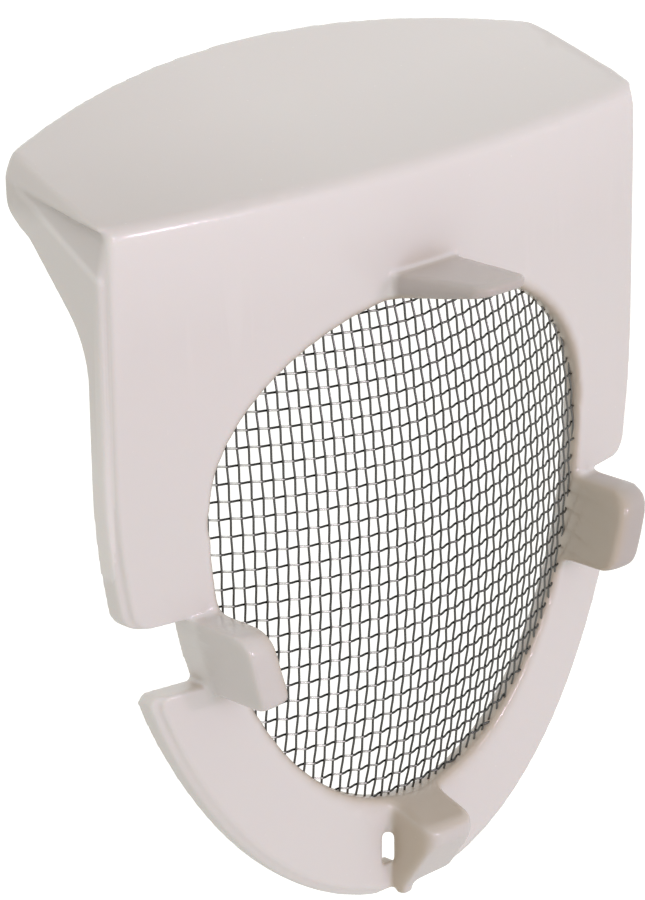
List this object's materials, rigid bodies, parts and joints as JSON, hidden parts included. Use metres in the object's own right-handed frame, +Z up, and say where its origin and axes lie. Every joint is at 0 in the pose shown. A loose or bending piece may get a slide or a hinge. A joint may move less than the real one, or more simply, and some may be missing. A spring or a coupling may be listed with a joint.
{
  "type": "kettle limescale filter",
  "caption": "Moulded spout filter frame with a sloped hood, swept side rims and clip tabs round a bowed woven wire screen that holds back limescale.",
  "frame": {"origin": "on the crown of the frame's front face, level with the widest part of the screen", "axes": "+X to the right seen from the front, +Y back from the spout into the kettle, +Z up along the plate"},
  "size_m": [0.0568, 0.0272, 0.0652],
  "materials": {
    "white_plastic": "smooth semi-gloss moulded plastic, slightly translucent white",
    "steel_wire": "drawn wire, plain weave"
  },
  "bodies": {
    "root": {"filter_frame": "white_plastic", "mesh_screen": "steel_wire"}
  },
  "joints": []
}
